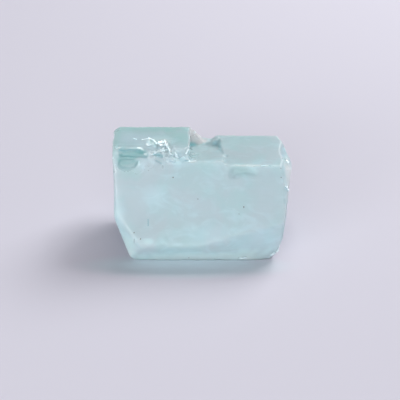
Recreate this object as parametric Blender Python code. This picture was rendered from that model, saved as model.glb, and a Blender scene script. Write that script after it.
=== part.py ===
"""A raw emerald: one stubby beryl prism that lies on a prism face and is broken off at both ends.

Units are metres and +Z is up. The prism's long axis runs along X, and its widest growth face looks
towards -Y and up. Sizes in this file are in millimetres. They are measured from the front edge of
the face that the stone lies on, half way along it. Last of all, everything is moved so that the
origin is under the middle of the stone's box.
"""

import math

import bmesh
import bpy
from mathutils import Matrix, Vector, noise

MM = 0.001

# --- The prism before it was broken ---------------------------------------------------------------
PRISM_LENGTH = 30.0
AXIS_DEPTH = 5.5
AXIS_HEIGHT = 6.1
GROWTH_FACES = {  # how far each face lies from the axis, keyed by the way it faces: 0 is -Y, 90 is up
    -90: 6.1,
    -30: 7.8,
    30: 5.0,
    90: 8.2,
    150: 8.5,
    210: 6.7,
}
TOP = AXIS_HEIGHT + GROWTH_FACES[90]

# --- Flat breaks: a point on the break, the way it faces, the cutter's width and its swells ----------
BREAKS = {
    "left_end": ((-11.25, 4, 7), (-1, -0.035, 0.0), 36, 0.16),
    "left_front_facet": ((-11.2, 1.0, 5.6), (-0.66, -0.75, -0.05), 20, 0.12),
    "left_underside": ((-11.2, 1.0, 5.7), (-0.93, 0.0, -0.36), 38, 0.08),
    "left_foot": ((-9.2, 0.0, 0.5), (-0.70, -0.1, -0.70), 30, 0.04),
    "left_top_corner": ((-11.4, 10.0, 14.0), (-0.60, 0.30, 0.74), 20, 0.05),
    "right_end": ((11.05, 0.5, 7.4), (0.99, -0.13, -0.05), 36, 0.14),
    "right_end_above": ((10.65, 2.7, 11.2), (0.94, -0.22, 0.26), 36, 0.10),
    "right_top_edge": ((10.95, 5.0, 12.46), (0.935, 0.0, 0.354), 36, 0.06),
    "right_back_corner": ((11.25, 9.4, 12.46), (0.85, 0.35, 0.40), 36, 0.12),
    "right_underside": ((10.82, -1.8, 3.7), (0.94, -0.076, -0.33), 40, 0.12),
    "right_foot": ((10.2, 0.0, 0.95), (0.69, 0.0, -0.72), 34, 0.08),
    "right_front_facet": ((5.2, -1.1, 4.5), (0.17, -0.97, -0.16), 20, 0.05),
}

# --- Shell-like hollows where chips came off --------------------------------------------------------
# Each has a centre, half sizes, the degrees it leans towards -Y, and the point where it was struck.
HOLLOWS = {
    "left_face_hollow": ((-10.6, -0.93, 7.16), (5.5, 5.5, 1.6), 60, (-1, 0.5, -0.5)),
    "block_chip": ((-6.0, 4.4, 15.95), (3.3, 4.2, 2.1), 0, (0.4, -0.8, -0.4)),
    "block_chip_side": ((-4.5, 4.4, 15.0), (1.2, 1.7, 1.3), 0, (0.4, -0.8, -0.4)),
    "block_end_chip": ((-1.1, 3.4, 14.5), (1.0, 1.9, 1.5), 0, (0, -1, 0.2)),
    "right_top_hollow": ((12.8, 7.0, 12.2), (2.2, 5.2, 2.3), 0, (-1, -1, 0)),
    "right_face_hollow": ((5.5, 1.06, 10.09), (3.4, 3.8, 0.8), 50, (0, 1, 0.3)),
    "back_hollow": ((-6.0, 16.6, 11.8), (6.4, 5.2, 5.0), 0, (0.4, 0.2, 1)),
    "back_foot_hollow": ((5.5, 13.6, -0.5), (5.4, 4.6, 4.2), 0, (0.3, 1, -0.2)),
}

# --- Where whole blocks came off ------------------------------------------------------------------
# Each has a low and a high rectangle, whose corners come in the order front left, front right, back
# left, back right. After them come its swells and the number of cuts along each of its edges.
SHOULDER = TOP - 1.85  # the top of the right block, which lies lower than the left one
BLOCK_END = -1.35  # where the tall left block stops
POCKET_BACK = 10.6
RIM = 11.95  # how low the thin rim behind the pocket is broken down
BLOCKS = {
    "shoulder": (
        ((4.35, -8, SHOULDER), (17, -8, SHOULDER), (1.35, 22, SHOULDER), (17, 22, SHOULDER)),
        ((3.65, -8, TOP + 4), (17, -8, TOP + 4), (0.65, 22, TOP + 4), (17, 22, TOP + 4)),
        0.05, 12,
    ),
    "pocket": (
        ((BLOCK_END, -6, 14.7), (5.7, -6, 14.7), (BLOCK_END, POCKET_BACK, 11.6), (2.2, POCKET_BACK, 11.6)),
        ((BLOCK_END, -6, 18), (6.1, -6, 18), (BLOCK_END, POCKET_BACK, 18), (5.9, POCKET_BACK, 18)),
        0.09, 14,
    ),
    "rim_dip": (
        ((0.4, 10.2, RIM), (1.5, 10.2, RIM), (0.4, 17, RIM), (1.5, 17, RIM)),
        ((-4.0, 10.2, 18.3), (7.5, 10.2, 16.0), (-4.0, 17, 18.3), (7.5, 17, 16.0)),
        0.05, 10,
    ),
}

# --- The look of a broken surface ----------------------------------------------------------------
SWELL_SPACING = 3.4
SWELL_LAYERS = 4
SWELL_FADE = 0.9  # how fast the smaller swells die out
SWELL_SHRINK = 2.1  # how much smaller each layer of swells is than the last
SEED_STEP = 7.3  # how far apart two cutters read their swells, so that no two are alike
FACET = 1.4  # the mesh of a broken side is about this coarse
CUTTER_REACH = 9.0  # how far a cutter reaches past the stone
RIPPLE_COUNT = 22.0  # shell ripples, in radians of wave for each radian round the hollow
RIPPLE_HEIGHT = 0.004  # as a share of the hollow's size
HOLLOW_SWELL = 0.03  # as a share of the hollow's size
HOLLOW_SWELL_COUNT = 2.0  # swells across half a hollow

CRYSTAL_COLOUR = (0.42, 0.66, 0.70, 1.0)
CRYSTAL_ROUGHNESS = 0.35


def clear_scene():
    for obj in list(bpy.data.objects):
        bpy.data.objects.remove(obj, do_unlink=True)


def new_collection(name):
    made = bpy.data.collections.new(name)
    bpy.context.scene.collection.children.link(made)
    return made


def object_from(bm, name, home):
    """Makes a mesh object of bm, which is in millimetres, and frees bm."""
    bmesh.ops.scale(bm, vec=(MM, MM, MM), verts=bm.verts[:])
    bmesh.ops.recalc_face_normals(bm, faces=bm.faces[:])
    mesh = bpy.data.meshes.new(name)
    bm.to_mesh(mesh)
    bm.free()
    obj = bpy.data.objects.new(name, mesh)
    home.objects.link(obj)
    return obj


def cut_flat(bm, point, normal):
    """Cuts off what lies beyond the plane, and closes the cut with one flat face."""
    everything = bm.verts[:] + bm.edges[:] + bm.faces[:]
    cut = bmesh.ops.bisect_plane(
        bm, geom=everything, plane_co=point, plane_no=normal, clear_outer=True
    )
    rim = [item for item in cut["geom_cut"] if isinstance(item, bmesh.types.BMEdge)]
    bmesh.ops.edgeloop_fill(bm, edges=rim)


def grown_prism(home):
    """The whole six-sided prism, cut from a block by its growth faces."""
    bm = bmesh.new()
    axis = Vector((0.0, AXIS_DEPTH, AXIS_HEIGHT))
    girth = 4 * max(GROWTH_FACES.values())
    block = Matrix.Translation(axis) @ Matrix.Diagonal((PRISM_LENGTH, girth, girth, 1.0))
    bmesh.ops.create_cube(bm, size=1.0, matrix=block)
    for tilt, distance in GROWTH_FACES.items():
        angle = math.radians(tilt)
        normal = Vector((0.0, -math.cos(angle), math.sin(angle)))
        cut_flat(bm, axis + normal * distance, normal)
    return object_from(bm, "raw_emerald", home)


def swell(place, seed):
    """How far a broken surface stands out at a place: broad swells with smaller ones on them."""
    place = place / SWELL_SPACING + Vector((seed * SEED_STEP, 0.0, 0.0))
    return noise.fractal(place, SWELL_FADE, SWELL_SHRINK, SWELL_LAYERS)


def flat_break(name, centre, facing, width, height, seed, home):
    """A cutter with one broken side, through centre. It takes away what lies beyond, along facing."""
    steps = round(width / FACET)
    bm = bmesh.new()
    bmesh.ops.create_grid(bm, x_segments=steps, y_segments=steps, size=width / 2)
    for vert in bm.verts:
        vert.co.z = height * swell(vert.co, seed)
    lifted = bmesh.ops.extrude_face_region(bm, geom=bm.faces[:])["geom"]
    for item in lifted:
        if isinstance(item, bmesh.types.BMVert):
            item.co.z = CUTTER_REACH
    far_side = [item for item in lifted if isinstance(item, bmesh.types.BMFace)]
    bmesh.ops.dissolve_faces(bm, faces=far_side, use_verts=True)
    turn = Vector(facing).to_track_quat("Z", "Y").to_matrix().to_4x4()
    bmesh.ops.transform(bm, matrix=Matrix.Translation(centre) @ turn, verts=bm.verts[:])
    return object_from(bm, name, home)


def shell_hollow(name, centre, half_sizes, lean, strike, seed, home):
    """An egg-shaped cutter for a hollow, with ripples round the point where it was struck."""
    bm = bmesh.new()
    bmesh.ops.create_icosphere(bm, subdivisions=4, radius=1.0)
    pole = Vector(strike).normalized()
    for vert in bm.verts:
        ripple = RIPPLE_HEIGHT * math.sin(RIPPLE_COUNT * vert.co.angle(pole))
        swells = HOLLOW_SWELL * swell(vert.co * SWELL_SPACING * HOLLOW_SWELL_COUNT, seed)
        vert.co *= 1.0 + ripple + swells
    turn = Matrix.Rotation(math.radians(lean), 4, "X")
    place = Matrix.Translation(centre) @ turn @ Matrix.Diagonal((*half_sizes, 1.0))
    bmesh.ops.transform(bm, matrix=place, verts=bm.verts[:])
    return object_from(bm, name, home)


def between(corners, x, y):
    """The point at x and y, each from 0 to 1, of the patch between four corners."""
    front_left, front_right, back_left, back_right = [Vector(corner) for corner in corners]
    return front_left.lerp(front_right, x).lerp(back_left.lerp(back_right, x), y)


def lost_block(name, low, high, height, cuts, seed, home):
    """A cutter with eight corners and broken sides: a cube, stretched to fit the corners."""
    bm = bmesh.new()
    bmesh.ops.create_cube(bm, size=1.0, matrix=Matrix.Translation((0.5, 0.5, 0.5)))
    bmesh.ops.subdivide_edges(bm, edges=bm.edges[:], cuts=cuts, use_grid_fill=True)
    for vert in bm.verts:
        x, y, z = vert.co
        vert.co = between(low, x, y).lerp(between(high, x, y), z)
        vert.co += height * Vector([swell(vert.co, seed + side / 3) for side in range(3)])
    return object_from(bm, name, home)


def make_cutters(home):
    kinds = [(lost_block, BLOCKS), (flat_break, BREAKS), (shell_hollow, HOLLOWS)]
    for make, table in kinds:
        for name, settings in table.items():
            make(name, *settings, len(home.objects), home)


def break_off(stone, cutters):
    """Takes a whole collection of cutters away from the stone, with one Boolean."""
    for cutter in cutters.objects:
        cutter.hide_render = True
        cutter.display_type = "WIRE"
    cut = stone.modifiers.new("breaks", "BOOLEAN")
    cut.operand_type = "COLLECTION"
    cut.collection = cutters
    cut.operation = "DIFFERENCE"
    cut.solver = "EXACT"


def centre_on_origin(stone, cutters):
    """Moves every mesh so that the origin is under the middle of the finished stone's box."""
    graph = bpy.context.evaluated_depsgraph_get()
    corners = [Vector(corner) for corner in stone.evaluated_get(graph).bound_box]
    low = Vector([min(corner[side] for corner in corners) for side in range(3)])
    high = Vector([max(corner[side] for corner in corners) for side in range(3)])
    middle = (low + high) / 2
    home = Matrix.Translation((-middle.x, -middle.y, -low.z))
    for obj in [stone, *cutters.objects]:
        obj.data.transform(home)
    bpy.context.view_layer.update()


def crystal_material():
    material = bpy.data.materials.new("pale emerald")
    material.use_nodes = True
    shader = material.node_tree.nodes["Principled BSDF"]
    shader.inputs["Base Color"].default_value = CRYSTAL_COLOUR
    shader.inputs["Roughness"].default_value = CRYSTAL_ROUGHNESS
    shader.inputs["Metallic"].default_value = 0.0
    return material


def main():
    clear_scene()
    stone = grown_prism(new_collection("raw emerald"))
    stone.data.materials.append(crystal_material())
    cutters = new_collection("cutters")
    make_cutters(cutters)
    break_off(stone, cutters)
    centre_on_origin(stone, cutters)


main()
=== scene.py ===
# %% [markdown]
# # A raw emerald
#
# This file dresses one small uncut beryl crystal, 24 mm long. It is a stubby six-sided prism that
# lies on one of its side faces, and both of its ends are broken. The measured model, made first,
# gives the whole form and its exact size. Here it gets what the eye sees from close by: the fine
# relief of grown and of broken surfaces, the cracks that reach its skin, and a pale, milky,
# see-through finish.
#
# The measured model is loaded as a fixed frame, and everything new is placed in the same metres.

# %% Load the measured crystal
import math
import random

import bmesh
import bpy
from mathutils import Matrix, Vector, noise
from mathutils.bvhtree import BVHTree
from mathutils.geometry import intersect_point_line


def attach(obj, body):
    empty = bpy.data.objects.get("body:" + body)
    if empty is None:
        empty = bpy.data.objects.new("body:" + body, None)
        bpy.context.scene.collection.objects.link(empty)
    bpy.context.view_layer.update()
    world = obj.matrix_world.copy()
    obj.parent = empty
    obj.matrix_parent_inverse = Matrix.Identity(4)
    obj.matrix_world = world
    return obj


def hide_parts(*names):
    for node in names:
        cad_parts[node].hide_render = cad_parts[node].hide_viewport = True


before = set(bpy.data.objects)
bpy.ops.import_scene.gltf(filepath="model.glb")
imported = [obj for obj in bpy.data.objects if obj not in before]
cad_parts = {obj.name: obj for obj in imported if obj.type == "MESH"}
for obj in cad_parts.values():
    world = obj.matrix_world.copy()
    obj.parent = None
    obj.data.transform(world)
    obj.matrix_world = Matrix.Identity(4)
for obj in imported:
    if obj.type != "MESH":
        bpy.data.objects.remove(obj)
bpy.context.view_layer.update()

MM = 0.001
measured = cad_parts["raw_emerald"]

# %% [markdown]
# ## The camera
#
# A long lens, as for small products, looks down at the crystal by 31 degrees. The camera is
# placed first because every later choice is judged through it. A point to aim at, a tilt and a
# distance say where it is more plainly than three coordinates would.

# %% Set up the camera
CAMERA_AIM = Vector((-0.532, -0.677, 5.96)) * MM
CAMERA_TILT = math.radians(31.0)
CAMERA_DISTANCE = 148 * MM
CAMERA_LENS = 100.0  # millimetres, on a sensor 36 mm wide

towards_camera = Vector((0.0, -math.cos(CAMERA_TILT), math.sin(CAMERA_TILT)))
camera = bpy.data.objects.new("camera", bpy.data.cameras.new("camera"))
bpy.context.scene.collection.objects.link(camera)
camera.data.lens = CAMERA_LENS
camera.data.clip_start = 5 * MM
camera.data.clip_end = 20.0
camera.location = CAMERA_AIM + towards_camera * CAMERA_DISTANCE
camera.rotation_euler = (-towards_camera).to_track_quat("-Z", "Y").to_euler()
bpy.context.scene.camera = camera
bpy.context.scene.view_settings.view_transform = "Standard"
print("camera at", [round(side / MM, 1) for side in camera.location], "mm")

# %% [markdown]
# ## The table and the light
#
# The crystal lies on pale lavender-grey paper. One soft lamp stands to the right and behind it,
# so its shadow falls to the left and a little forward. A second, wider one stands low in front,
# and a small one hangs high behind, to put sparks on worn edges. The last stands low on the left,
# close by, because the stone is so clear that its side away from the lamp glows. The rest is the
# glow of pale walls. A world colour that is brightest at the horizon gives that glow: it lights
# the sides of the stone more than its top, as walls do.

# %% Glow of the walls
WALL_COLOUR = (0.53, 0.517, 0.58, 1.0)
CEILING_COLOUR = (0.175, 0.17, 0.188, 1.0)
WALL_TOP = 0.45  # the height of a direction, from 0 at the horizon to 1 overhead, where walls end

world = bpy.data.worlds.new("room")
bpy.context.scene.world = world
world.use_nodes = True
room = world.node_tree
direction = room.nodes.new("ShaderNodeTexCoord")
height = room.nodes.new("ShaderNodeSeparateXYZ")
walls = room.nodes.new("ShaderNodeValToRGB")
walls.color_ramp.interpolation = "EASE"
walls.color_ramp.elements[0].color = WALL_COLOUR
walls.color_ramp.elements[1].color = CEILING_COLOUR
walls.color_ramp.elements[1].position = WALL_TOP
room.links.new(direction.outputs["Generated"], height.inputs["Vector"])
room.links.new(height.outputs["Z"], walls.inputs["Fac"])
room.links.new(walls.outputs["Color"], room.nodes["Background"].inputs["Color"])

# %% Place the lamps
LAMPS = {  # where each one stands and how wide it is, in millimetres, and its power in watts
    "key": ((215, 230, 335), 250, 1.59),
    "fill": ((-40, -640, 220), 500, 1.85),
    "high": ((20, 200, 400), 120, 0.23),
    "low": ((-130, -160, 47), 90, 0.145),
}
LAMP_PLACES = {name: Vector(place) * MM for name, (place, _, _) in LAMPS.items()}


def add_lamp(name, place, size, power):
    """A square lamp at place that faces the crystal."""
    lamp = bpy.data.lights.new(name, "AREA")
    lamp.size = size
    lamp.energy = power
    holder = bpy.data.objects.new(name, lamp)
    holder.location = place
    holder.rotation_euler = (CAMERA_AIM - place).to_track_quat("-Z", "Y").to_euler()
    bpy.context.scene.collection.objects.link(holder)


for name, (_, size, power) in LAMPS.items():
    add_lamp(f"{name}_light", LAMP_PLACES[name], size * MM, power)
print("lamps:", list(LAMPS))

# %% Lay the paper
PAPER_SIZE = 4.0  # metres
PAPER_COLOUR = (0.683, 0.671, 0.749, 1.0)


def object_of(name, bm):
    """A new object in the scene from a bmesh, which is freed."""
    mesh = bpy.data.meshes.new(name)
    bm.to_mesh(mesh)
    bm.free()
    made = bpy.data.objects.new(name, mesh)
    bpy.context.scene.collection.objects.link(made)
    return made


paper_bm = bmesh.new()
bmesh.ops.create_grid(paper_bm, x_segments=1, y_segments=1, size=PAPER_SIZE / 2)
paper = object_of("paper", paper_bm)
paper_finish = bpy.data.materials.new("pale paper")
paper_finish.use_nodes = True
paper_shader = paper_finish.node_tree.nodes["Principled BSDF"]
paper_shader.inputs["Roughness"].default_value = 0.9
paper_shader.inputs["Specular IOR Level"].default_value = 0.2
paper.data.materials.append(paper_finish)

# %% [markdown]
# ## The light that comes through
#
# Some light goes right through a see-through stone. It takes on the stone's colour and lands on
# the paper at its foot, in the shadow. It could be followed ray by ray, but that takes far too
# long to come out smooth. So the paper is given a faint tint there, in one soft oval.

# %% Tint the paper at the foot of the crystal
GLOW_COLOUR = (0.683, 0.777, 0.835, 1.0)
GLOW_MIDDLE = (-2.5, -7.5)  # millimetres
GLOW_HALVES = (16.0, 3.6)  # how far the oval reaches each way, in millimetres
GLOW_FADE = 0.6  # the outer share of the oval, over which the tint fades away

paper_nodes, paper_links = paper_finish.node_tree.nodes, paper_finish.node_tree.links
paper_place = paper_nodes.new("ShaderNodeTexCoord")
oval = paper_nodes.new("ShaderNodeMapping")
for side, (middle, half) in enumerate(zip(GLOW_MIDDLE, GLOW_HALVES)):
    oval.inputs["Location"].default_value[side] = -middle / half
    oval.inputs["Scale"].default_value[side] = 1.0 / (half * MM)
from_middle = paper_nodes.new("ShaderNodeVectorMath")
from_middle.operation = "LENGTH"
glow = paper_nodes.new("ShaderNodeMapRange")
glow.interpolation_type = "SMOOTHSTEP"
glow.inputs["From Min"].default_value = 1.0
glow.inputs["From Max"].default_value = 1.0 - GLOW_FADE
tinted = paper_nodes.new("ShaderNodeMixRGB")
tinted.inputs["Color1"].default_value = PAPER_COLOUR
tinted.inputs["Color2"].default_value = GLOW_COLOUR
paper_links.new(paper_place.outputs["Object"], oval.inputs["Vector"])
paper_links.new(oval.outputs["Vector"], from_middle.inputs[0])
paper_links.new(from_middle.outputs["Value"], glow.inputs["Value"])
paper_links.new(glow.outputs["Result"], tinted.inputs["Fac"])
paper_links.new(tinted.outputs["Color"], paper_shader.inputs["Base Color"])
print("the tint reaches", GLOW_HALVES, "mm each way from", GLOW_MIDDLE)

# %% [markdown]
# ## The body of the crystal
#
# The measured model comes as loose triangles. A copy is welded, and triangles that lie in one
# plane are joined, so that the true faces and edges of the stone can be found. The few wide flat
# faces are the ones the crystal grew. All the others are broken.

# %% Weld a copy of the measured crystal
WELD = 0.001 * MM
FLAT = math.radians(1.0)
GROWN_AREA = 6.0 * MM * MM  # a grown face is wide and flat, and it runs along the crystal
GROWN_LEAN = 0.02  # how much its normal may lean towards the crystal's ends

shell = bmesh.new()
shell.from_mesh(measured.data)
bmesh.ops.remove_doubles(shell, verts=shell.verts[:], dist=WELD)
bmesh.ops.dissolve_limit(shell, angle_limit=FLAT, verts=shell.verts[:], edges=shell.edges[:])
grown_planes = [
    (face.calc_center_median(), face.normal.copy())
    for face in shell.faces
    if face.calc_area() > GROWN_AREA and abs(face.normal.x) < GROWN_LEAN
]
print("welded:", len(shell.verts), "points and", len(shell.faces), "faces")
print("grown faces:", len(grown_planes))

# %% [markdown]
# ## Chipped edges
#
# Beryl is hard but brittle, so every sharp edge has lost small shell-like chips. One way is to
# sculpt them. Here each chip is a small squashed ball that is set on an edge and taken away with
# a Boolean, which leaves the crisp scoop that a real chip leaves. Where they sit is drawn at
# random, from a fixed seed, so that the stone comes out the same each time.

# %% Set the chips on the edges
CHIP_SEED = 5
CHIP_COUNT = 110
CHIP_ANGLE = math.radians(28)
CHIP_SIZES = (0.35, 1.3)  # millimetres, smallest and largest half width
CHIP_DEPTH = 0.16  # of the half width
CHIP_SQUASH = 0.7  # how flat the ball is
CHIP_STRETCH = (0.7, 1.3)  # how long the ball is beside its half width
CHIP_TILT = 0.5  # how far it leans from the edge's own way


def sharp_edges(bm):
    """The outward edges of a mesh that are sharp enough to chip."""
    return [
        edge
        for edge in bm.edges
        if len(edge.link_faces) == 2 and edge.calc_face_angle_signed() > CHIP_ANGLE
    ]


def add_chip(bm, edge, draw):
    """Adds one squashed ball that cuts a scoop from the edge."""
    along = edge.verts[0].co.lerp(edge.verts[1].co, draw.random())
    outward = (edge.link_faces[0].normal + edge.link_faces[1].normal).normalized()
    small, large = CHIP_SIZES
    half = MM * (small + (large - small) * draw.random() ** 3)
    lift = half * CHIP_SQUASH - half * CHIP_DEPTH * (0.5 + draw.random())
    tilt = Vector([draw.uniform(-CHIP_TILT, CHIP_TILT) for _ in range(3)])
    turn = (outward + tilt).to_track_quat("Z", "Y").to_matrix().to_4x4()
    stretched = half * draw.uniform(*CHIP_STRETCH)
    shape = Matrix.Diagonal((stretched, half, half * CHIP_SQUASH, 1.0))
    place = Matrix.Translation(along + outward * lift) @ turn @ shape
    bmesh.ops.create_icosphere(bm, subdivisions=2, radius=1.0, matrix=place)


draw = random.Random(CHIP_SEED)
edges = sharp_edges(shell)
weights = [edge.calc_length() for edge in edges]
chips_bm = bmesh.new()
for edge in draw.choices(edges, weights, k=CHIP_COUNT):
    add_chip(chips_bm, edge, draw)
chips = object_of("chips", chips_bm)
crystal = object_of("emerald_crystal", shell)
print("sharp edges:", len(edges), "chips:", CHIP_COUNT)

# %% Cut the chips and give the stone an even skin
SKIN = 0.14 * MM  # the size of the small squares


def finished_mesh(obj):
    """The object's mesh with its modifiers applied. The modifiers are then removed."""
    graph = bpy.context.evaluated_depsgraph_get()
    mesh = bpy.data.meshes.new_from_object(obj.evaluated_get(graph))
    obj.modifiers.clear()
    obj.data = mesh
    return mesh


cut = crystal.modifiers.new("chips", "BOOLEAN")
cut.operation = "DIFFERENCE"
cut.solver = "EXACT"
cut.use_self = True
cut.object = chips
finished_mesh(crystal)
bpy.data.objects.remove(chips, do_unlink=True)
skin = crystal.modifiers.new("skin", "REMESH")
skin.mode = "VOXEL"
skin.voxel_size = SKIN
stone = finished_mesh(crystal)
print("skin:", len(stone.vertices), "points,", len(stone.polygons), "faces")

# %% [markdown]
# ## The relief
#
# A grown face of beryl is nearly flat. It has faint lines along the crystal, and low plateaus
# with soft steps. A broken face swells, and it carries fine curved ripples that run out from
# where it was struck. Both are far too fine for the measured model, so they are added to the fine
# skin by moving each point along its normal by a few hundredths of a millimetre.

# %% Find out which points are grown and which are broken
GROWN_REACH = 0.07 * MM  # a point this near to a grown face lies on it
GROWN_AGREES = 0.9  # how nearly its normal has to agree with the face's, from 0 to 1


def grownness(place, normal):
    """1 on a grown face, 0 well away from it."""
    best = 0.0
    for centre, facing in grown_planes:
        if normal.dot(facing) > GROWN_AGREES:
            off = abs((place - centre).dot(facing))
            best = max(best, 1.0 - min(1.0, max(0.0, off / GROWN_REACH - 1.0)))
    return best


# %% Describe the relief of each kind of face
LINE_LENGTH = 5.0 * MM  # the lines on a grown face: how long, how far apart and how deep
LINE_GAP = 0.30 * MM
LINE_DEPTH = 0.005 * MM
PLATEAU_SIZE = 2.6 * MM
PLATEAU_STEPS = 5.0
PLATEAU_DEPTH = 0.022 * MM
SWELL_SIZE = 1.1 * MM
SWELL_DEPTH = 0.055 * MM
SWELL_LAYERS = (1.0, 2.1, 3)  # how fast smaller swells die out, how much smaller, how many layers
RIPPLE_GAP = 0.75 * MM
RIPPLE_DEPTH = 0.014 * MM
RIPPLE_FADE = 3.0 * MM  # ripples are deepest near the blow
RIPPLE_NEAR = 2.5  # at the blow they are deeper by this many times
RIPPLE_WANDER = 0.6 * MM  # how far a ripple strays from a true arc
RIPPLE_WANDER_SIZE = 2 * MM
RIPPLE_PATCH_SIZE = 1.5 * MM  # the size of the patches in which ripples show
BLOWS = [  # where the stone was struck, which is where the ripples run out from
    Vector((-16.0, 3.0, 20.0)) * MM,
    Vector((-8.8, 7.4, 12.6)) * MM,
    Vector((8.6, 7.8, 4.4)) * MM,
]


def soft_steps(value, steps):
    """Turns a slope into plateaus. The middle fifth of each step is the soft edge between two."""
    level = math.floor(value * steps)
    part = value * steps - level
    return (level + min(1.0, max(0.0, part * 5.0 - 2.0))) / steps


def grown_relief(place):
    """How high a grown face stands at a place: fine lines on low plateaus."""
    line = noise.noise(Vector((place.x / LINE_LENGTH, place.y / LINE_GAP, place.z / LINE_GAP)))
    plateau = soft_steps(noise.noise(place / PLATEAU_SIZE), PLATEAU_STEPS)
    return LINE_DEPTH * line + PLATEAU_DEPTH * plateau


def broken_relief(place):
    """How high a broken face stands at a place: swells, with ripples round the nearest blow."""
    swell = noise.fractal(place / SWELL_SIZE, *SWELL_LAYERS)
    away = min((place - blow).length for blow in BLOWS)
    wander = RIPPLE_WANDER * noise.noise(place / RIPPLE_WANDER_SIZE)
    wave = math.sin((away + wander) * math.tau / RIPPLE_GAP)
    near = 1.0 + RIPPLE_NEAR * math.exp(-away / RIPPLE_FADE)
    strength = (0.5 + 0.5 * noise.noise(place / RIPPLE_PATCH_SIZE)) * near
    return SWELL_DEPTH * swell + RIPPLE_DEPTH * wave * strength
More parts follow.
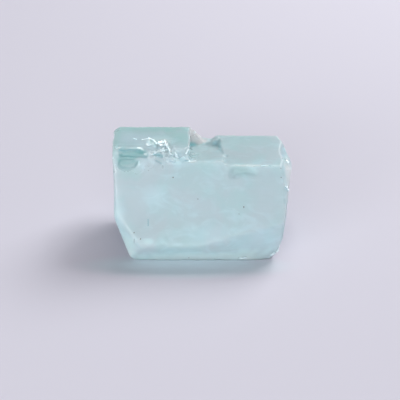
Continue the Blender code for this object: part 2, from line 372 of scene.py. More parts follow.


# %% [markdown]
# ## Zones of the stone
#
# The stone isn't the same all over. Its upper left part is sound and clear, and the rest is
# milky. Some places are a deeper teal, others are nearly white or have a breath of mauve. Part of
# that is painted light and shade: the teal zones also darken the tops that the key lamp lights most
# and walls that face away from it, the deep zones are painted shade where light mirrored inside the
# struck block looks dark, and the pale and thin zones also brighten low sides in shade and thin
# parts that light would come through. Each such place is a soft egg, given by its middle, its half
# sizes and its strength. How strongly each point of the skin belongs to a kind of zone is kept on
# the mesh as an attribute, and the finish reads it. An attribute stays on the surface when the
# stone is looked at from another side, so the light and shade painted into a zone stay where they
# are too.

# %% Lay out the zones
ZONES = {
    "clear": [
        ((-6.5, 1.5, 14.3), (7.0, 5.0, 2.6), 1.5),
        ((-9.5, -2.2, 13.2), (3.2, 1.6, 2.2), 0.7),
    ],
    # partly the stone's own deeper colour and partly painted shade, on lit tops and on walls that
    # face away from the key lamp
    "teal_and_painted_shade": [
        ((-6.5, 4.6, 14.3), (7.5, 1.9, 1.2), 1.0),
        ((-3.2, 1.4, 14.3), (2.4, 2.6, 0.6), 0.7),
        ((-11.6, 1.0, 14.0), (0.8, 4.0, 1.2), 0.8),
        ((2.3, 2.0, 12.5), (0.9, 3.4, 1.2), 0.1),
        ((-0.5, 0.5, 12.6), (2.2, 3.0, 1.0), 0.15),
        ((5.0, -2.9, 11.8), (2.2, 0.9, 1.0), 0.4),
        ((-9.6, -3.2, 11.7), (1.9, 1.0, 1.3), 0.5),
        ((2.5, 7.5, 5.0), (5.0, 1.8, 3.4), 0.6),
        ((11.5, 2.0, 4.0), (1.4, 3.6, 2.6), 0.6),
        ((0.0, 0.0, 0.0), (9.0, 4.0, 1.0), 0.5),
    ],
    "mauve": [
        ((-8.8, -4.9, 7.2), (2.0, 2.0, 3.2), 1.2),
        ((-10.8, -3.6, 10.0), (1.8, 2.0, 3.0), 0.9),
        ((8.4, -4.7, 9.1), (3.2, 2.4, 4.6), 0.9),
        # painted reflection: the light band across the top of the struck block
        ((-8.9, 1.0, 14.3), (2.8, 1.5, 0.8), 1.0),
        ((-7.8, -3.5, 11.2), (3.0, 0.9, 1.3), 0.9),
        ((-0.8, -5.1, 8.3), (0.6, 0.7, 1.3), 0.7),
        ((-6.0, 7.0, 9.0), (3.4, 1.6, 3.0), 0.9),
        ((-11.8, 2.0, 8.0), (1.0, 3.0, 3.6), 0.7),
    ],
    # partly the stone's own milkiness and partly painted light, which brightens the low front, the
    # foot, the left strip, the thin rim and fin that stand in shade, and the reflected band across
    # the top of the struck block
    "pale": [
        ((-9.0, 1.2, 14.3), (2.8, 1.7, 0.8), 0.45),
        ((-11.4, -4.8, 6.4), (1.5, 2.4, 3.4), 0.35),
        ((-6.4, -4.6, 9.2), (1.9, 0.9, 1.5), 0.35),
        ((-9.7, -6.3, 2.4), (1.3, 1.6, 2.6), 1.0),
        ((0.6, -7.2, 4.8), (3.6, 1.0, 1.8), 0.45),
        ((-7.2, -7.6, 4.0), (0.8, 0.5, 0.4), 0.9),
        ((0.0, -6.9, 0.8), (11.0, 1.4, 1.5), 1.0),
        ((7.0, -6.7, 3.0), (3.6, 1.6, 2.0), 0.3),
        ((-3.4, -7.9, 3.6), (0.8, 0.4, 0.3), 0.6),
        ((11.6, -0.5, 10.0), (1.6, 5.0, 4.6), 0.9),
        ((-1.0, 4.5, 13.0), (1.8, 1.2, 1.6), 1.4),
        ((-3.0, -2.2, 12.8), (1.8, 0.9, 0.9), 0.6),
        ((-5.4, 0.6, 14.0), (2.2, 1.3, 0.9), 1.0),
        ((9.5, 6.0, 8.0), (2.0, 2.0, 3.0), 0.9),
        ((-4.0, 7.6, 13.0), (3.0, 1.0, 1.2), 0.6),
    ],
    # painted shade: dark teal patches where light mirrored inside the struck block looks dark
    "painted_deep_shade": [
        ((-9.2, -2.0, 13.8), (2.1, 0.9, 0.6), 1.3),
        ((-10.0, -2.6, 12.8), (1.8, 0.9, 0.7), 1.0),
        ((-10.2, -2.2, 13.2), (1.4, 0.8, 0.7), 0.7),
    ],
    # painted light: near white where light would come through thin parts, and a little along the
    # shaded foot
    "thin_with_painted_light": [  # where the stone is so thin that light comes through it
        ((-1.0, 4.5, 13.0), (2.2, 1.4, 1.5), 1.6),
        ((11.5, -0.8, 9.8), (1.4, 4.0, 3.8), 0.7),
        ((0.0, -6.8, 0.6), (10.0, 1.4, 1.4), 0.2),
    ],
    "soft": [  # where edges are worn round
        ((-9.6, -5.4, 6.0), (5.0, 5.0, 7.0), 3.0),
        ((2.0, -7.2, 3.6), (14.0, 2.4, 2.6), 2.0),
        ((-8.1, -0.6, 14.2), (1.0, 1.7, 0.6), 1.5),
        ((-9.8, -1.8, 14.2), (2.6, 0.6, 0.5), 0.7),
    ],
    "step": [  # where thin slabs have flaked off the front, above and below a ledge
        ((-9.2, -2.0, 13.8), (2.0, 0.9, 0.5), 3.0),
        ((-9.9, -2.7, 12.6), (1.3, 0.9, 0.6), 3.0),
    ],
    "filled": [  # where a hollow in the front is shallower than the measured model has it
        ((-9.4, -4.9, 7.0), (4.4, 4.6, 5.4), 3.0),
        ((5.2, -4.0, 10.2), (2.6, 1.4, 1.3), 1.6),
    ],
    "hackle": [  # where the break is splintered into sharp little ridges
        ((-5.4, -1.2, 14.0), (2.4, 2.2, 1.0), 1.6),
        ((-3.6, -2.2, 13.2), (1.6, 0.8, 0.8), 1.2),
        ((11.6, 1.6, 5.6), (1.4, 3.6, 3.0), 0.6),
        ((-11.6, 2.4, 5.2), (1.4, 3.8, 3.4), 0.6),
    ],
}
ZONE_WARP = 0.25  # how far the edge of a zone wanders, as a share of its size
ZONE_WARP_SIZE = 0.9 * MM
ZONE_SQUARENESS = 3.0  # 2 is an egg, and a higher number is more like a box
ZONE_OUTSIDE = 3.0  # a place this far off is outside, however its edge wanders


def zone_strength(kind, place):
    """How strongly a place belongs to a kind of zone, from 0 to 1."""
    wander = ZONE_WARP * noise.noise(place / ZONE_WARP_SIZE)
    total = 0.0
    for middle, halves, strength in ZONES[kind]:
        off = sum(
            abs((p / MM - m) / h) ** ZONE_SQUARENESS for p, m, h in zip(place, middle, halves)
        )
        if off < ZONE_OUTSIDE:
            off = off ** (1.0 / ZONE_SQUARENESS) + wander
            total += strength * max(0.0, 1.0 - off * off)
    return min(1.0, total)


# %% [markdown]
# ## Cracks and seams
#
# Where the block was struck, a few cracks come to the surface. Their crushed lips stand out as
# pale lines, and their white is partly a painted highlight. A few seams are sunk instead, and look
# dark, partly from their own colour and partly from painted shade. Each line is given by a few
# points, to a tenth of a millimetre, and by its half width at each one. It is then laid on the
# skin.
# The skin is raised or sunk along it, because a painted line wouldn't catch the lamp.

# %% Lay out the cracks and the seams
# partly the crushed lips' own white and partly a painted highlight, as on the edge and fin spots
CRACKS = {
    "streak": [((-7.9, 0.8, 14.3), 0.05), ((-7.2, 1.0, 14.3), 0.17), ((-6.6, 0.7, 14.2), 0.10)],
    "link": [((-6.6, 0.7, 14.2), 0.08), ((-6.3, 0.2, 14.1), 0.06), ((-6.1, 0.0, 14.1), 0.10)],
    "blow": [((-6.1, 0.0, 14.1), 0.12), ((-5.6, 0.1, 14.2), 0.26), ((-5.1, 0.1, 14.3), 0.18)],
    "inner_blow": [((-6.0, -0.1, 14.1), 0.12), ((-5.4, -0.1, 14.2), 0.22),
                   ((-5.0, -0.2, 14.2), 0.12)],
    "tail": [((-5.1, 0.1, 14.3), 0.16), ((-4.8, -0.5, 14.2), 0.11), ((-4.4, -1.4, 13.9), 0.11),
             ((-4.3, -2.0, 13.8), 0.16)],
    "fork": [((-6.2, -0.1, 14.0), 0.05), ((-5.4, -0.5, 14.1), 0.13), ((-4.9, -0.5, 14.2), 0.09)],
    "lower_fork": [((-4.7, -1.3, 13.8), 0.09), ((-5.4, -1.3, 13.8), 0.09),
                   ((-6.0, -1.9, 13.8), 0.07), ((-6.6, -2.1, 13.7), 0.04)],
    "nick": [((-3.8, -1.9, 14.0), 0.04), ((-3.6, -2.1, 13.7), 0.08), ((-3.4, -2.3, 13.3), 0.04)],
    "low_nick": [((-4.1, -2.2, 13.4), 0.05), ((-3.5, -2.5, 13.0), 0.06)],
    "dot": [((-9.0, 0.9, 14.3), 0.11), ((-8.9, 0.9, 14.3), 0.11)],
    "ledge": [((-10.5, -2.3, 13.3), 0.03), ((-9.2, -2.3, 13.3), 0.04)],
    "upright": [((-8.4, -2.5, 12.9), 0.05), ((-8.4, -2.8, 12.5), 0.05)],
    "ledge_end": [((-7.6, -2.1, 13.7), 0.10), ((-7.5, -2.1, 13.7), 0.10)],
    "corner": [((-2.1, -1.3, 13.9), 0.13), ((-2.3, -1.9, 13.7), 0.08)],
    "pocket_lip": [((-2.1, -2.5, 12.8), 0.04), ((-1.4, -2.5, 12.8), 0.10),
                   ((-1.1, -2.5, 12.8), 0.04)],
    "right_edge": [((4.0, -2.8, 12.4), 0.03), ((6.7, -2.8, 12.4), 0.06), ((9.0, -2.8, 12.4), 0.04)],
    "edge_spot": [((7.4, -2.8, 12.4), 0.08), ((7.7, -2.8, 12.4), 0.12), ((7.9, -2.8, 12.4), 0.06)],
    "fin_spot": [((10.8, 1.9, 10.6), 0.14), ((11.0, 1.9, 10.3), 0.16)],
    "fin_top": [((10.2, -1.1, 12.4), 0.07), ((10.3, -0.6, 12.3), 0.08)],
    "fin_line": [((10.4, -3.8, 10.1), 0.05), ((10.6, -3.5, 9.4), 0.08), ((10.8, -3.3, 8.9), 0.12)],
    "foot": [((4.6, -6.6, 0.7), 0.06), ((4.9, -6.6, 0.7), 0.10), ((5.6, -6.5, 0.7), 0.05)],
    "foot_corner": [((8.8, -6.0, 0.6), 0.06), ((9.4, -5.8, 1.2), 0.13), ((9.8, -5.4, 2.0), 0.05)],
    "strip_line": [((-9.0, -7.4, 4.2), 0.04), ((-9.1, -7.4, 3.5), 0.06)],
    "back_corner": [((-2.5, 7.4, 12.6), 0.08), ((-1.9, 7.6, 12.0), 0.15),
                    ((-1.8, 7.8, 11.2), 0.06)],
    "back_foot": [((6.5, 7.0, 3.2), 0.05), ((7.4, 7.2, 3.8), 0.12), ((7.8, 7.3, 4.7), 0.05)],
}
# partly dark fissures and partly painted shade, as along the top of the step and the gap in the
# right edge
SEAMS = {
    "patch": [((-6.5, -2.1, 13.7), 0.08), ((-5.9, -2.1, 13.6), 0.22), ((-5.4, -2.2, 13.4), 0.14)],
    "scratch": [((-6.2, -2.5, 13.0), 0.04), ((-5.5, -2.7, 12.7), 0.07)],
    "pocket": [((-2.5, -2.5, 13.0), 0.05), ((-1.8, -2.5, 12.9), 0.08), ((-1.1, -2.4, 12.9), 0.04)],
    "short": [((-7.2, -6.2, 6.4), 0.03), ((-7.2, -6.7, 5.7), 0.05)],
    "top_of_step": [((-10.9, -1.8, 14.2), 0.06), ((-8.0, -1.8, 14.2), 0.07)],
    "edge_gap": [((8.2, -2.8, 12.4), 0.05), ((8.6, -2.8, 12.4), 0.06)],
    "back": [((1.0, 8.0, 8.0), 0.05), ((2.6, 8.0, 7.4), 0.10), ((3.6, 8.0, 7.6), 0.04)],
}
LINE_STEP = 0.3  # millimetres between the places where a line is laid on the skin
BALL_ROOM = 4  # how many half widths of a line its ball leaves round it
RAGGED = 0.4  # how unevenly wide a line is
RAGGED_SIZE = 0.25  # millimetres
CRACK_HEIGHT = 0.05 * MM
SEAM_DEPTH = 0.07 * MM


def skin_tree(mesh):
    """A search tree of a mesh's faces, to find the nearest place on it."""
    places = [vertex.co for vertex in mesh.vertices]
    return BVHTree.FromPolygons(places, [tuple(polygon.vertices) for polygon in mesh.polygons])


def laid_on(tree, points):
    """A line's points in millimetres, with more between them, each moved onto the skin."""
    laid = []
    for (start, width), (end, end_width) in zip(points, points[1:]):
        parts = max(1, round((Vector(end) - Vector(start)).length / LINE_STEP))
        for part in range(parts + 1):
            share = part / parts
            place = tree.find_nearest(Vector(start).lerp(Vector(end), share) * MM)[0] / MM
            if not laid or (place - laid[-1][0]).length > LINE_STEP / 4:
                laid.append((place, width + (end_width - width) * share))
    return laid


def stretches(tree, lines):
    """Each stretch of each line, in a ball, so that points outside the ball are passed over."""
    made = []
    for points in lines.values():
        laid = laid_on(tree, points)
        for (start, width), (end, end_width) in zip(laid, laid[1:]):
            radius = (end - start).length / 2 + BALL_ROOM * max(width, end_width)
            made.append(((start + end) / 2, radius**2, start, end, width, end_width))
    return made


def line_strength(place, lines):
    """1 in the middle of a line, falling to 0 at twice its half width."""
    best = 0.0
    place = place / MM
    for middle, radius_squared, start, end, width, end_width in lines:
        if (place - middle).length_squared < radius_squared:
            share = intersect_point_line(place, start, end)[1]
            share = min(1.0, max(0.0, share))
            reach = width + (end_width - width) * share
            reach *= 1.0 + RAGGED * noise.noise(place / RAGGED_SIZE)
            best = max(best, 1.0 - (place - start.lerp(end, share)).length / (2.0 * reach))
    return best


even_skin = skin_tree(stone)
crack_stretches = stretches(even_skin, CRACKS)
seam_stretches = stretches(even_skin, SEAMS)
print("stretches:", len(crack_stretches), "of crack,", len(seam_stretches), "of seam")

# %% Raise the relief and mark the zones
STEP_DEPTH = 0.09 * MM  # how thick the slabs that flaked off were
HACKLE_HEIGHT = 0.11 * MM
HACKLE_SIZE = 0.55 * MM
FINE_HACKLE = 0.4  # the size of the finer ridges, as a share
FILLED_SHARE = 0.8  # how much of a filled hollow's depth is taken back
CALM = 0.8  # how much smoother a filled hollow is than other breaks
SOFT_ROUNDS = 24  # how many times the softest places are smoothed
FRONT_FACING = Vector((0.0, -0.866, 0.5))
FRONT_AGREES = 0.85  # how nearly a point of a filled hollow has to face that way
DEEPEST = 1.0 * MM  # a place deeper than this isn't in the hollow

front_face = max(grown_planes, key=lambda plane: plane[1].dot(FRONT_FACING))


def depth_in_front_face(place):
    """How far a place in a hollow lies under the wide front face."""
    depth = (front_face[0] - place).dot(front_face[1])
    return depth if 0.0 < depth < DEEPEST else 0.0


def hackle(place):
    """Sharp little ridges, as where a break changes its way: 0 in the valleys, 1 on the ridges."""
    wave = noise.noise(place / HACKLE_SIZE)
    return 1.0 - 2.0 * abs(wave) - 0.5 * abs(noise.noise(place / (FINE_HACKLE * HACKLE_SIZE)))


def smooth(bm, verts):
    """Moves each of these points half way to the middle of its neighbours."""
    bmesh.ops.smooth_vert(
        bm, verts=verts, factor=0.5, use_axis_x=True, use_axis_y=True, use_axis_z=True
    )


bm = bmesh.new()
bm.from_mesh(stone)
bm.normal_update()
layers = {kind: bm.verts.layers.float.new(kind) for kind in ["grown", "crack", "seam", *ZONES]}
moves = []
for vert in bm.verts:
    for kind in ZONES:
        vert[layers[kind]] = zone_strength(kind, vert.co)
    crack = vert[layers["crack"]] = line_strength(vert.co, crack_stretches)
    seam = vert[layers["seam"]] = line_strength(vert.co, seam_stretches)
    grown = vert[layers["grown"]] = grownness(vert.co, vert.normal)
    calm = 1.0 - CALM * vert[layers["filled"]]
    height = grown * grown_relief(vert.co) + (1.0 - grown) * calm * broken_relief(vert.co)
    height += CRACK_HEIGHT * crack - SEAM_DEPTH * seam - STEP_DEPTH * vert[layers["step"]]
    height += HACKLE_HEIGHT * vert[layers["hackle"]] * hackle(vert.co)
    if vert.normal.dot(FRONT_FACING) > FRONT_AGREES:
        height += FILLED_SHARE * vert[layers["filled"]] * depth_in_front_face(vert.co)
    moves.append(vert.normal * height)
for vert, move in zip(bm.verts, moves):
    vert.co += move
for turn in range(SOFT_ROUNDS):
    limit = (turn + 0.5) / SOFT_ROUNDS
    smooth(bm, [vert for vert in bm.verts if vert[layers["soft"]] > limit])
for vert in bm.verts:
    vert.co.z = max(vert.co.z, 0.0)
grown_share = sum(vert[layers["grown"]] for vert in bm.verts) / len(bm.verts)
print("grown share of the skin:", round(grown_share, 2))

# %% [markdown]
# ## Worn edges and a painted edge highlight
#
# Where an edge has been rubbed it turns white, because its surface is crushed, and the same white
# also stands as a painted highlight along the edges. To find the edges, the skin is smoothed for a
# moment: a point on an edge sinks in when it is smoothed, and one on a flat face stays. How far it
# sinks is kept as one more attribute.

# %% Mark the worn edges, which are whitened for wear and as a painted highlight
EDGE_SMOOTHINGS = 5
EDGE_SINK = 0.045 * MM  # a point that sinks this far is fully on an edge

wear_and_highlight_layer = bm.verts.layers.float.new("wear_and_highlight")
before = [vert.co.copy() for vert in bm.verts]
normals = [vert.normal.copy() for vert in bm.verts]
for _ in range(EDGE_SMOOTHINGS):
    smooth(bm, bm.verts[:])
for vert, old, normal in zip(bm.verts, before, normals):
    sink = (old - vert.co).dot(normal) / EDGE_SINK
    vert[wear_and_highlight_layer] = min(1.0, max(0.0, sink))
    vert.co = old
for face in bm.faces:
    face.smooth = True
bm.to_mesh(stone)
bm.free()
print("kept for each point:", [item.name for item in stone.attributes if item.data_type == "FLOAT"])

# %% [markdown]
# ## The finish of the crystal
#
# Beryl is clear where it is sound and milky where it is full of tiny cracks and bubbles. The
# shader lets over a quarter of the light straight through, bent as beryl bends it, and the rest
# wanders about under the surface. Light that crosses the stone also turns slightly blue-green
# with depth. The colour is mixed from a few soft clouds of noise and from the zones, and the
# gloss goes from nearly polished on the clear part to frosted on the rest.
#
# The crystal, the splinters and the mica are all mottled, only at different sizes. So the clouds
# of noise are made once, as a group of nodes that gives nothing but a value, and each finish uses
# it with sizes and limits of its own.

# %% Make the group that every finish shares
def mottle_group():
    """Soft clouds with a value from 0 to 1: how fine, how far drawn out, and how clearly parted."""
    group = bpy.data.node_groups.new("mottle", "ShaderNodeTree")
    sockets = (
        ("Fineness", "NodeSocketFloat", 1000.0),
        ("Stretch", "NodeSocketVector", (1.0, 1.0, 1.0)),
        ("Detail", "NodeSocketFloat", 3.0),
        ("Swirl", "NodeSocketFloat", 0.0),
        ("Low", "NodeSocketFloat", 0.3),
        ("High", "NodeSocketFloat", 0.7),
    )
    for label, kind, value in sockets:
        group.interface.new_socket(label, in_out="INPUT", socket_type=kind).default_value = value
    group.interface.new_socket("Value", in_out="OUTPUT", socket_type="NodeSocketFloat")
    entry = group.nodes.new("NodeGroupInput")
    place = group.nodes.new("ShaderNodeTexCoord")
    drawn_out = group.nodes.new("ShaderNodeVectorMath")
    drawn_out.operation = "MULTIPLY"
    clouds = group.nodes.new("ShaderNodeTexNoise")
    parted = group.nodes.new("ShaderNodeMapRange")
    way_out = group.nodes.new("NodeGroupOutput")
    group.links.new(place.outputs["Object"], drawn_out.inputs[0])
    group.links.new(entry.outputs["Stretch"], drawn_out.inputs[1])
    group.links.new(drawn_out.outputs["Vector"], clouds.inputs["Vector"])
    group.links.new(entry.outputs["Fineness"], clouds.inputs["Scale"])
    group.links.new(entry.outputs["Detail"], clouds.inputs["Detail"])
    group.links.new(entry.outputs["Swirl"], clouds.inputs["Distortion"])
    group.links.new(clouds.outputs["Fac"], parted.inputs["Value"])
    group.links.new(entry.outputs["Low"], parted.inputs["From Min"])
    group.links.new(entry.outputs["High"], parted.inputs["From Max"])
    group.links.new(parted.outputs["Result"], way_out.inputs["Value"])
    return group


MOTTLE = mottle_group()
print("shared group:", MOTTLE.name, [item.name for item in MOTTLE.interface.items_tree])


# %% Make the pale emerald finish
BERYL_IOR = 1.577
# Some of these colours carry painted light and shade: the deep teal also darkens lit tops and
# shaded walls, the deepest teal is painted shade, the milk and the bare white also brighten shaded
# and thin parts, the crack white is partly a painted highlight and the seam teal partly painted
# shade.
AQUA = (0.545, 0.715, 0.725, 1.0)
DEEP_TEAL_AND_PAINTED_SHADE = (0.48, 0.71, 0.695, 1.0)
PAINTED_SHADE_TEAL = (0.31, 0.56, 0.56, 1.0)
MAUVE = (0.595, 0.695, 0.72, 1.0)
MILK_AND_PAINTED_LIGHT = (0.69, 0.85, 0.88, 1.0)
PAINTED_THROUGH_WHITE = (0.85, 0.99, 1.0, 1.0)
CRACK_WHITE_AND_HIGHLIGHT = (0.74, 0.97, 1.0, 1.0)
SEAM_TEAL_AND_SHADE = (0.34, 0.56, 0.60, 1.0)
THROUGH = 0.28  # how much of the light goes straight through
SCATTER_DEPTH = 2 * MM
SCATTER_FORWARD = 0.8
DEPTH_COLOUR = (0.62, 0.88, 0.95, 1.0)
DEPTH_DENSITY = 60.0  # for each metre of stone that the light crosses
FROSTED, POLISHED = 0.34, 0.06  # how rough the milky and the clear stone are
SMOOTHEST = 0.04
GRAIN_SIZE = 0.25 * MM
GRAIN_DEPTH = 0.02 * MM


class Finish:
    """A material with a Principled shader, and short ways to add nodes to it."""

    def __init__(self, name):
        self.material = bpy.data.materials.new(name)
        self.material.use_nodes = True
        self.tree = self.material.node_tree
        self.shader = self.tree.nodes["Principled BSDF"]
        self.output = self.tree.nodes["Material Output"]

    def set(self, **values):
        """Sets plain values on the shader. An underscore in a name stands for a space."""
        for name, value in values.items():
            self.shader.inputs[name.replace("_", " ")].default_value = value

    def add(self, kind, **settings):
        """Adds a node and sets its own properties."""
        node = self.tree.nodes.new(kind)
        for name, value in settings.items():
            setattr(node, name, value)
        return node

    def link(self, start, end):
        self.tree.links.new(start, end)

    def zone(self, name):
        """An attribute of the mesh, as a value."""
        return self.add("ShaderNodeAttribute", attribute_name=name).outputs["Fac"]

    def mottle(self, size, low=0.3, high=0.7, detail=3.0, stretch=(1.0, 1.0, 1.0), swirl=0.0):
        """Clouds about size wide, in metres: 0 where they are below low, 1 above high."""
        node = self.add("ShaderNodeGroup", node_tree=MOTTLE)
        node.inputs["Fineness"].default_value = 1.0 / size
        node.inputs["Stretch"].default_value = stretch
        node.inputs["Detail"].default_value = detail
        node.inputs["Swirl"].default_value = swirl
        node.inputs["Low"].default_value = low
        node.inputs["High"].default_value = high
        return node.outputs["Value"]

    def span(self, value, low, high, to_low=0.0, to_high=1.0):
        """Stretches a value from low..high to to_low..to_high, and keeps it inside."""
        node = self.add("ShaderNodeMapRange", clamp=True)
        node.inputs["From Min"].default_value = low
        node.inputs["From Max"].default_value = high
        node.inputs["To Min"].default_value = to_low
        node.inputs["To Max"].default_value = to_high
        self.link(value, node.inputs["Value"])
        return node.outputs["Result"]

    def math(self, operation, first, second):
        """One sum on two values, each a socket or a number."""
        node = self.add("ShaderNodeMath", operation=operation)
        for slot, value in enumerate([first, second]):
            if isinstance(value, (int, float)):
                node.inputs[slot].default_value = value
            else:
                self.link(value, node.inputs[slot])
        return node.outputs["Value"]

    def mix(self, share, first, second):
        """Mixes two colours, each a socket or a plain colour, by a share."""
        node = self.add("ShaderNodeMix", data_type="RGBA")
        self.link(share, node.inputs["Factor"])
        for name, value in (("A", first), ("B", second)):
            socket = [s for s in node.inputs if s.name == name and s.type == "RGBA"][0]
            if isinstance(value, tuple):
                socket.default_value = value
            else:
                self.link(value, socket)
        return [s for s in node.outputs if s.type == "RGBA"][0]

    def tint(self, colour, zone, tone, share, low=0.0, high=1.0):
        """Turns a colour to a tone: not at all below low in a zone, and by share above high."""
        return self.mix(self.span(self.zone(zone), low, high, 0.0, share), colour, tone)


emerald = Finish("pale emerald")
clouds = emerald.mottle(4.5 * MM, 0.35, 0.65, swirl=0.8)
wisps = emerald.mottle(1.6 * MM, 0.48, 0.72, detail=5.0, stretch=(0.6, 1.0, 1.0), swirl=1.2)
colour = emerald.mix(emerald.math("MULTIPLY", clouds, 0.9), AQUA, MAUVE)
colour = emerald.mix(emerald.math("MULTIPLY", wisps, 0.5), colour, MILK_AND_PAINTED_LIGHT)
colour = emerald.tint(colour, "mauve", MAUVE, 0.8)
# painted shade, in part: the teal tint also darkens lit tops and walls that face away from the key
# lamp
colour = emerald.tint(colour, "teal_and_painted_shade", DEEP_TEAL_AND_PAINTED_SHADE, 0.95)
# painted shade: dark teal patches where light mirrored inside the struck block looks dark
painted_shade_patches = emerald.mottle(1.1 * MM, 0.35, 0.6, stretch=(0.5, 1.0, 1.4))
painted_deep_shade = emerald.math("MULTIPLY", emerald.zone("painted_deep_shade"), emerald.span(painted_shade_patches, 0.0, 1.0, 0.65, 1.0))
colour = emerald.mix(painted_deep_shade, colour, PAINTED_SHADE_TEAL)
# painted light, in part: the pale tint also brightens low and left sides that stand in shade
colour = emerald.tint(colour, "pale", MILK_AND_PAINTED_LIGHT, 0.9)
# painted light: near white where light would come through thin parts and on the shaded foot
colour = emerald.tint(colour, "thin_with_painted_light", PAINTED_THROUGH_WHITE, 0.9)
# painted highlight, in part: worn edges are whitened for wear and as an edge highlight
colour = emerald.tint(colour, "wear_and_highlight", MILK_AND_PAINTED_LIGHT, 0.35, low=0.25)
# painted highlight, in part: the crack lines are whitened beyond their crushed lips
colour = emerald.tint(colour, "crack", CRACK_WHITE_AND_HIGHLIGHT, 1.0, low=0.1, high=0.5)
# painted shade, in part: the seams are darkened as shade along sunk lines and edges
colour = emerald.tint(colour, "seam", SEAM_TEAL_AND_SHADE, 0.9, low=0.1, high=0.7)
emerald.link(colour, emerald.shader.inputs["Base Color"])

# %% Give the crystal its gloss, its grain and its depth
rough = emerald.span(emerald.zone("clear"), 0.0, 0.8, FROSTED, POLISHED)
uneven = emerald.span(emerald.mottle(0.9 * MM, detail=4.0), 0.0, 1.0, -0.05, 0.08)
rough = emerald.math("ADD", rough, uneven)
glassy_cracks = emerald.span(emerald.zone("crack"), 0.1, 0.5, 0.0, 0.2)
rough = emerald.math("MAXIMUM", emerald.math("SUBTRACT", rough, glassy_cracks), SMOOTHEST)
emerald.link(rough, emerald.shader.inputs["Roughness"])

grain = emerald.add("ShaderNodeBump")
grain.inputs["Strength"].default_value = 0.25
grain.inputs["Distance"].default_value = GRAIN_DEPTH
emerald.link(emerald.mottle(GRAIN_SIZE, 0.0, 1.0), grain.inputs["Height"])
emerald.link(grain.outputs["Normal"], emerald.shader.inputs["Normal"])

emerald.set(
    IOR=BERYL_IOR,
    Transmission_Weight=THROUGH,
    Subsurface_Weight=1.0,
    Subsurface_Radius=(1.0, 1.0, 1.0),
    Subsurface_Scale=SCATTER_DEPTH,
    Subsurface_Anisotropy=SCATTER_FORWARD,
)
depth_tint = emerald.add("ShaderNodeVolumeAbsorption")
depth_tint.inputs["Color"].default_value = DEPTH_COLOUR
depth_tint.inputs["Density"].default_value = DEPTH_DENSITY
emerald.link(depth_tint.outputs["Volume"], emerald.output.inputs["Volume"])
stone.materials.clear()
stone.materials.append(emerald.material)

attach(crystal, "root")
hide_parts("raw_emerald")

# %% [markdown]
# ## Splinters
#
# A blow leaves a crack full of splinters, still in place. Each is a thin flat slab, and a few
# happen to lie so that they mirror a lamp, which gives the bright white strokes on the struck
# block. They could be carved into the skin, but they are finer than its squares. So they are made
# as their own small slabs, laid along the cracks and sunk into the skin, with their flat tops
# turned half way between the lamp and the eye.

# %% Find the ways in which a splinter mirrors a lamp
def mirror_way(place, lamp_place):
    """The way a flat spot at place must face to mirror the lamp to the camera."""
    to_lamp = (lamp_place - place).normalized()
    to_eye = (camera.location - place).normalized()
    return (to_lamp + to_eye).normalized()


struck_place = Vector((-5.5, 0.0, 14.2)) * MM
for name in ("key", "high"):
    way = mirror_way(struck_place, LAMP_PLACES[name])
    print("mirror way of the", name, "lamp:", [round(side, 2) for side in way])

# %% Lay the splinters along the cracks
SPLINTER_SEED = 11
SPLINTER_STEP = 0.22  # millimetres between one splinter and the next
SPLINTER_LENGTH = (0.35, 0.6)  # in millimetres, as the thickness is
SPLINTER_THICKNESS = 0.09
SPLINTER_WIDTH = (0.7, 1.2)  # its width, as a share of the crack's
SPLINTER_ENDS = (0.25, 0.55)  # how narrow its sharp end and its blunt end are, as a share
SPLINTER_TOP = 0.5  # how narrow its top is beside its foot
SPLINTER_TILT = 0.12  # how far it strays from the mirror way
SPLINTER_SKEW = 0.2  # how far it strays from the crack's own way, in millimetres
SPLINTER_STANDS = 0.02 * MM  # how far its top stands out of the skin
BRIGHT_CRACKS = {  # the lamp whose light the splinters of each one throw back
    "key": ["blow", "inner_blow", "tail", "fork", "corner", "fin_spot", "fin_line",
            "foot", "foot_corner"],
    "high": ["streak", "link", "lower_fork", "dot", "edge_spot", "pocket_lip", "nick"],
}

finished_skin = skin_tree(stone)


def add_splinter(bm, place, along, facing, length, width):
    """One tapered slab at place, with its long side along and its flat top facing."""
    across = facing.cross(along).normalized()
    along = across.cross(facing).normalized()
    turn = Matrix((along, across, facing)).transposed().to_4x4()
    thick = SPLINTER_THICKNESS * MM
    shape = Matrix.Diagonal((length * MM, width * MM, thick, 1.0))
    sunk = Matrix.Translation(place - facing * (thick / 2 - SPLINTER_STANDS))
    made = bmesh.ops.create_cube(bm, size=1.0)["verts"]
    for vert in made:
        taper = SPLINTER_ENDS[0] if vert.co.x > 0 else SPLINTER_ENDS[1]
        vert.co.y *= taper + (1.0 - taper) * (SPLINTER_TOP if vert.co.z > 0 else 1.0)
    bmesh.ops.transform(bm, matrix=sunk @ turn @ shape, verts=made)


draw = random.Random(SPLINTER_SEED)
splinters_bm = bmesh.new()
bright = [
    (LAMP_PLACES[lamp], CRACKS[name]) for lamp, names in BRIGHT_CRACKS.items() for name in names
]
for lamp_place, points in bright:
    for (start, width), (end, end_width) in zip(points, points[1:]):
        start, end = Vector(start) * MM, Vector(end) * MM
        count = max(1, round((end - start).length / MM / SPLINTER_STEP))
        for step in range(count):
            share = (step + draw.random()) / count
            place = finished_skin.find_nearest(start.lerp(end, share))[0]
            stray = Vector([draw.uniform(-1, 1) for _ in range(3)]) * SPLINTER_TILT
            facing = (mirror_way(place, lamp_place) + stray).normalized()
            skew = Vector([draw.uniform(-SPLINTER_SKEW, SPLINTER_SKEW) for _ in range(3)]) * MM
            wide = 2.0 * (width + (end_width - width) * share) * draw.uniform(*SPLINTER_WIDTH)
            long = draw.uniform(*SPLINTER_LENGTH)
            add_splinter(splinters_bm, place, end - start + skew, facing, long, wide)
bmesh.ops.recalc_face_normals(splinters_bm, faces=splinters_bm.faces[:])
splinters = object_of("crack_splinters", splinters_bm)
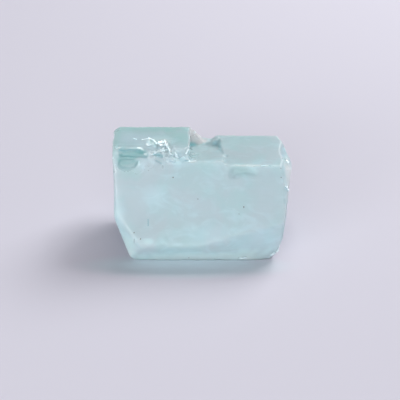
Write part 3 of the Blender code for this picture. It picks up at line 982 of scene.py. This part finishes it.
print("splinters:", len(splinters.data.polygons) // 6)

# %% Give the splinters their finish
SPLINTER_WHITE = (0.84, 0.97, 1.0, 1.0)
SPLINTER_SHADE = (0.70, 0.90, 0.96, 1.0)

crushed = Finish("crushed beryl")
crumbs = crushed.mottle(0.3 * MM, 0.35, 0.65)
white = crushed.mix(crumbs, SPLINTER_SHADE, SPLINTER_WHITE)
crushed.link(white, crushed.shader.inputs["Base Color"])
crushed.link(crushed.span(crumbs, 0.0, 1.0, 0.22, 0.08), crushed.shader.inputs["Roughness"])
crushed.set(IOR=BERYL_IOR)
splinters.data.materials.append(crushed.material)
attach(splinters, "root")

# %% [markdown]
# ## Flecks of mica
#
# Emerald grows in mica schist, and small dark flakes of mica often stay stuck in it. Each one is
# a thin six-sided plate about a fifth of a millimetre wide, as mica crystals are. They are placed
# one by one: most of them on the front, and a few on the back and the ends.

# %% Set the flecks in the skin
FLECKS = [  # where each one is, and how wide it is, in millimetres
    ((-4.0, -3.6, 11.1), 0.26),
    ((5.1, -5.5, 7.8), 0.28),
    ((-0.8, -5.0, 8.7), 0.16),
    ((4.5, -5.9, 7.0), 0.14),
    ((-9.0, -6.9, 4.8), 0.24),
    ((-8.2, -7.5, 4.2), 0.24),
    ((9.9, -3.6, 11.1), 0.20),
    ((9.9, -3.0, 12.1), 0.16),
    ((-6.5, 8.0, 8.0), 0.26),
    ((1.5, 8.0, 6.0), 0.20),
    ((7.0, 8.0, 9.0), 0.24),
    ((12.0, 3.0, 7.0), 0.22),
    ((-12.0, 4.0, 9.5), 0.22),
    ((-12.0, 0.5, 7.0), 0.16),
    ((-2.0, -6.0, 1.0), 0.18),
]
FLECK_SEED = 3
FLECK_THICKNESS = 0.05 * MM
FLECK_STANDS = 0.012 * MM  # how far its top stands out of the skin
FLECK_TILT = 0.25  # how far it leans from the skin's own way
FLECK_NARROW = (0.6, 0.9)  # how wide it is across, as a share of its width

draw = random.Random(FLECK_SEED)
flecks_bm = bmesh.new()
for place, width in FLECKS:
    spot, facing = finished_skin.find_nearest(Vector(place) * MM)[:2]
    stray = Vector([draw.uniform(-FLECK_TILT, FLECK_TILT) for _ in range(3)])
    turn = (facing + stray).to_track_quat("Z", "Y").to_matrix().to_4x4()
    spin = Matrix.Rotation(draw.uniform(0, math.tau), 4, "Z")
    across = width * MM * draw.uniform(*FLECK_NARROW)
    shape = Matrix.Diagonal((width * MM, across, FLECK_THICKNESS, 1.0))
    sunk = Matrix.Translation(spot + facing * (FLECK_STANDS - FLECK_THICKNESS / 2))
    bmesh.ops.create_cone(
        flecks_bm, cap_ends=True, segments=6, radius1=0.5, radius2=0.42, depth=1.0,
        matrix=sunk @ turn @ spin @ shape,
    )
bmesh.ops.recalc_face_normals(flecks_bm, faces=flecks_bm.faces[:])
flecks = object_of("mica_flecks", flecks_bm)

# %% Give the flecks their finish
MICA_DARK = (0.16, 0.20, 0.19, 1.0)
MICA_LIGHT = (0.34, 0.38, 0.36, 1.0)

mica = Finish("dark mica")
sheets = mica.mottle(0.08 * MM, 0.35, 0.65, detail=2.0, stretch=(1.0, 1.0, 4.0))
mica.link(mica.mix(sheets, MICA_DARK, MICA_LIGHT), mica.shader.inputs["Base Color"])
mica.link(mica.span(sheets, 0.0, 1.0, 0.25, 0.5), mica.shader.inputs["Roughness"])
flecks.data.materials.append(mica.material)
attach(flecks, "root")
print("flecks:", len(FLECKS))
